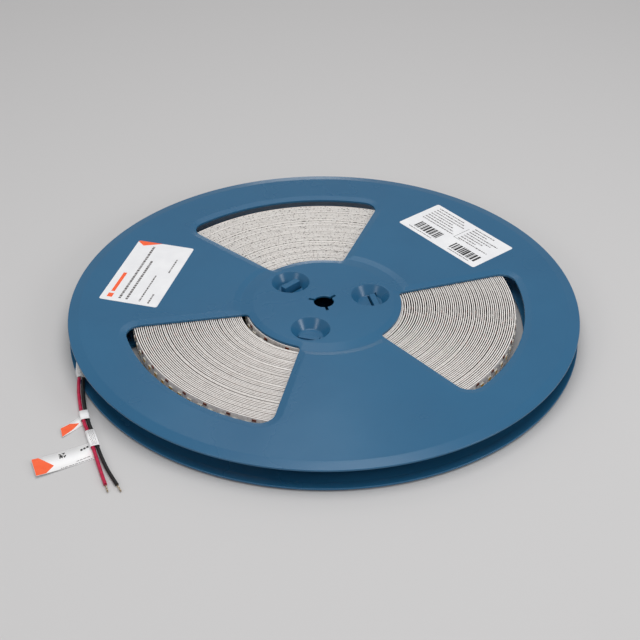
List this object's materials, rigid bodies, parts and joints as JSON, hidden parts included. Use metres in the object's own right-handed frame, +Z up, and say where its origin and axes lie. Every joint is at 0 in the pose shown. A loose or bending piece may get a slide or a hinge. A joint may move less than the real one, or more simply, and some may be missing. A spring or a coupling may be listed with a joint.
{
  "type": "led strip light reel",
  "caption": "Flat two-flange plastic reel with three windows, wound full of LED strip, with tagged red and black feed leads.",
  "frame": {"origin": "centre of the reel on the surface that it lies on", "axes": "+Z up along the reel's axis; the leads leave the rim towards -X and run towards -Y"},
  "size_m": [0.3342, 0.3317, 0.0176],
  "materials": {
    "reel_plastic": "satin moulded",
    "strip": "white solder mask, edges of the turns",
    "clear_sleeve": "translucent shrink tube",
    "red_insulation": "satin",
    "black_insulation": "satin",
    "tinned_copper": "solder",
    "paper": "coated label paper"
  },
  "bodies": {
    "root": {"bottom_flange": "reel_plastic", "top_flange": "reel_plastic", "led_strip_roll": "strip", "heat_shrink_sleeve": "clear_sleeve", "red_wire": "red_insulation", "red_wire_tip": "tinned_copper", "black_wire": "black_insulation", "black_wire_tip": "tinned_copper", "lead_tag_short": "paper", "lead_tag_long": "paper", "product_sticker": "paper", "barcode_sticker": "paper"}
  },
  "joints": []
}
